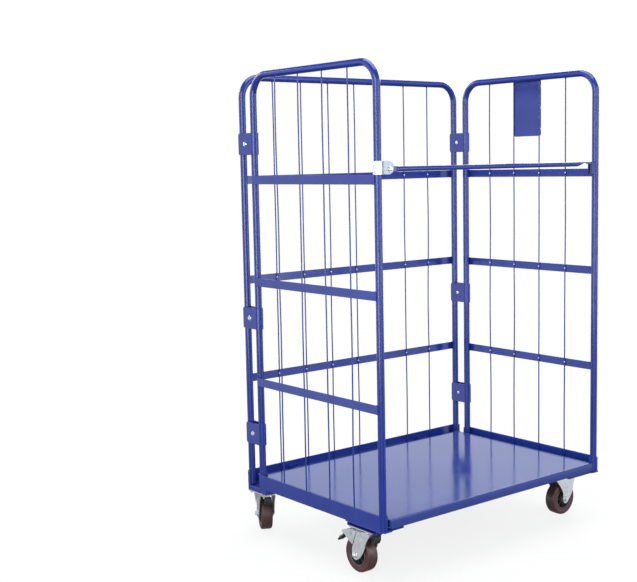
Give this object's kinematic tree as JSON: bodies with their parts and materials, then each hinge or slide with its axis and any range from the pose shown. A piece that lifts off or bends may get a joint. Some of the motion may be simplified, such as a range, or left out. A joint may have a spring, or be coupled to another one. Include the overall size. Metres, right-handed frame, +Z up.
{
  "type": "roll cage container",
  "caption": "Wheeled roll cage with a fixed rear panel, hinged side panels, flip-up deck, retaining bar across the open front, and swivel and rigid castors.",
  "frame": {"origin": "centre of the bounding box seen from above, on the ground", "axes": "+Z up, open front towards -Y, retaining bar hinged at -X and caught at +X"},
  "size_m": [1.1172, 0.865, 1.7],
  "materials": {
    "blue_powder_coat": "semi-gloss powder coat",
    "deck_paint": "glossy powder coat",
    "zinc_plate": "bright zinc plating",
    "tread": "satin maroon polyurethane",
    "wheel_core": "satin moulded core",
    "pad_rubber": "matt black rubber"
  },
  "bodies": {
    "rear_frame": {"rear_tube_frame": "blue_powder_coat", "rear_wire_grid": "blue_powder_coat", "rear_bottom_rail": "blue_powder_coat", "rear_left_seat": "blue_powder_coat", "rear_right_seat": "blue_powder_coat", "left_hinge_strap_bottom": "blue_powder_coat", "left_hinge_strap_middle": "blue_powder_coat", "left_hinge_strap_top": "blue_powder_coat", "right_hinge_strap_bottom": "blue_powder_coat", "right_hinge_strap_middle": "blue_powder_coat", "right_hinge_strap_top": "blue_powder_coat", "left_hinge_bolt_bottom": "zinc_plate", "left_hinge_bolt_middle": "zinc_plate", "left_hinge_bolt_top": "zinc_plate", "right_hinge_bolt_bottom": "zinc_plate", "right_hinge_bolt_middle": "zinc_plate", "right_hinge_bolt_top": "zinc_plate", "deck_left_hinge_lug": "blue_powder_coat", "deck_right_hinge_lug": "blue_powder_coat", "rear_left_top_plate": "zinc_plate", "rear_right_fork": "zinc_plate", "rear_right_axle": "zinc_plate"},
    "left_panel": {"left_tube_frame": "blue_powder_coat", "left_wire_grid": "blue_powder_coat", "left_bottom_rail": "blue_powder_coat", "front_left_seat": "blue_powder_coat", "front_left_top_plate": "zinc_plate"},
    "right_panel": {"right_tube_frame": "blue_powder_coat", "right_wire_grid": "blue_powder_coat", "right_bottom_rail": "blue_powder_coat", "front_right_seat": "blue_powder_coat", "name_plate": "blue_powder_coat", "bar_catch": "blue_powder_coat", "front_right_fork": "zinc_plate", "front_right_axle": "zinc_plate"},
    "deck": {"deck_sheet": "deck_paint", "deck_front_beam": "blue_powder_coat", "deck_rear_beam": "blue_powder_coat", "deck_left_eye": "blue_powder_coat", "deck_right_eye": "blue_powder_coat"},
    "bar_sleeve": {"bar_sleeve": "zinc_plate", "bar_pivot_bolt": "zinc_plate"},
    "retaining_bar": {"retaining_bar": "blue_powder_coat", "retaining_bar_tongue": "blue_powder_coat"},
    "front_left_swivel": {"front_left_fork": "zinc_plate", "front_left_axle": "zinc_plate"},
    "rear_left_swivel": {"rear_left_fork": "zinc_plate", "rear_left_axle": "zinc_plate"},
    "front_left_wheel": {"front_left_tyre": "tread", "front_left_wheel_core": "wheel_core"},
    "rear_left_wheel": {"rear_left_tyre": "tread", "rear_left_wheel_core": "wheel_core"},
    "front_right_wheel": {"front_right_tyre": "tread", "front_right_wheel_core": "wheel_core"},
    "rear_right_wheel": {"rear_right_tyre": "tread", "rear_right_wheel_core": "wheel_core"},
    "front_left_pedal": {"front_left_brake_pedal": "zinc_plate", "front_left_release_pad": "pad_rubber"},
    "rear_left_pedal": {"rear_left_brake_pedal": "zinc_plate", "rear_left_release_pad": "pad_rubber"}
  },
  "joints": [
    {"name": "left_panel_hinge", "type": "hinge", "parent": "rear_frame", "child": "left_panel", "pos_m": [-0.5375, 0.25149, 0.9], "axis": [0, 0, 1], "range_deg": [-95, 0]},
    {"name": "right_panel_hinge", "type": "hinge", "parent": "rear_frame", "child": "right_panel", "pos_m": [0.5375, 0.25149, 0.9], "axis": [0, 0, 1], "range_deg": [0, 95]},
    {"name": "deck_flip", "type": "hinge", "parent": "rear_frame", "child": "deck", "pos_m": [0, 0.30549, 0.208], "axis": [-1, 0, 0], "range_deg": [0, 88]},
    {"name": "bar_sleeve_turn", "type": "hinge", "parent": "left_panel", "child": "bar_sleeve", "pos_m": [-0.5375, -0.41401, 1.3558], "axis": [0, 0, 1], "range_deg": [-100, 0]},
    {"name": "retaining_bar_lift", "type": "hinge", "parent": "bar_sleeve", "child": "retaining_bar", "pos_m": [-0.49, -0.41401, 1.351], "axis": [0, -1, 0], "range_deg": [0, 90]},
    {"name": "front_left_swivel", "type": "hinge", "parent": "left_panel", "child": "front_left_swivel", "pos_m": [-0.501, -0.30151, 0.15], "axis": [0, 0, 1], "continuous": true},
    {"name": "rear_left_swivel", "type": "hinge", "parent": "rear_frame", "child": "rear_left_swivel", "pos_m": [-0.5, 0.28849, 0.15], "axis": [0, 0, 1], "continuous": true},
    {"name": "front_left_wheel_spin", "type": "hinge", "parent": "front_left_swivel", "child": "front_left_wheel", "pos_m": [-0.501, -0.26251, 0.0625], "axis": [-1, 0, 0], "continuous": true},
    {"name": "rear_left_wheel_spin", "type": "hinge", "parent": "rear_left_swivel", "child": "rear_left_wheel", "pos_m": [-0.48229, 0.32324, 0.0625], "axis": [-0.891, 0.454, 0], "continuous": true},
    {"name": "front_right_wheel_spin", "type": "hinge", "parent": "right_panel", "child": "front_right_wheel", "pos_m": [0.483, -0.29651, 0.0625], "axis": [0, 1, 0], "continuous": true},
    {"name": "rear_right_wheel_spin", "type": "hinge", "parent": "rear_frame", "child": "rear_right_wheel", "pos_m": [0.486, 0.28849, 0.0625], "axis": [0, 1, 0], "continuous": true},
    {"name": "front_left_brake", "type": "hinge", "parent": "front_left_swivel", "child": "front_left_pedal", "pos_m": [-0.501, -0.24551, 0.136], "axis": [-1, 0, 0], "range_deg": [0, 5]},
    {"name": "rear_left_brake", "type": "hinge", "parent": "rear_left_swivel", "child": "rear_left_pedal", "pos_m": [-0.47458, 0.33839, 0.136], "axis": [-0.891, 0.454, 0], "range_deg": [0, 5]}
  ]
}
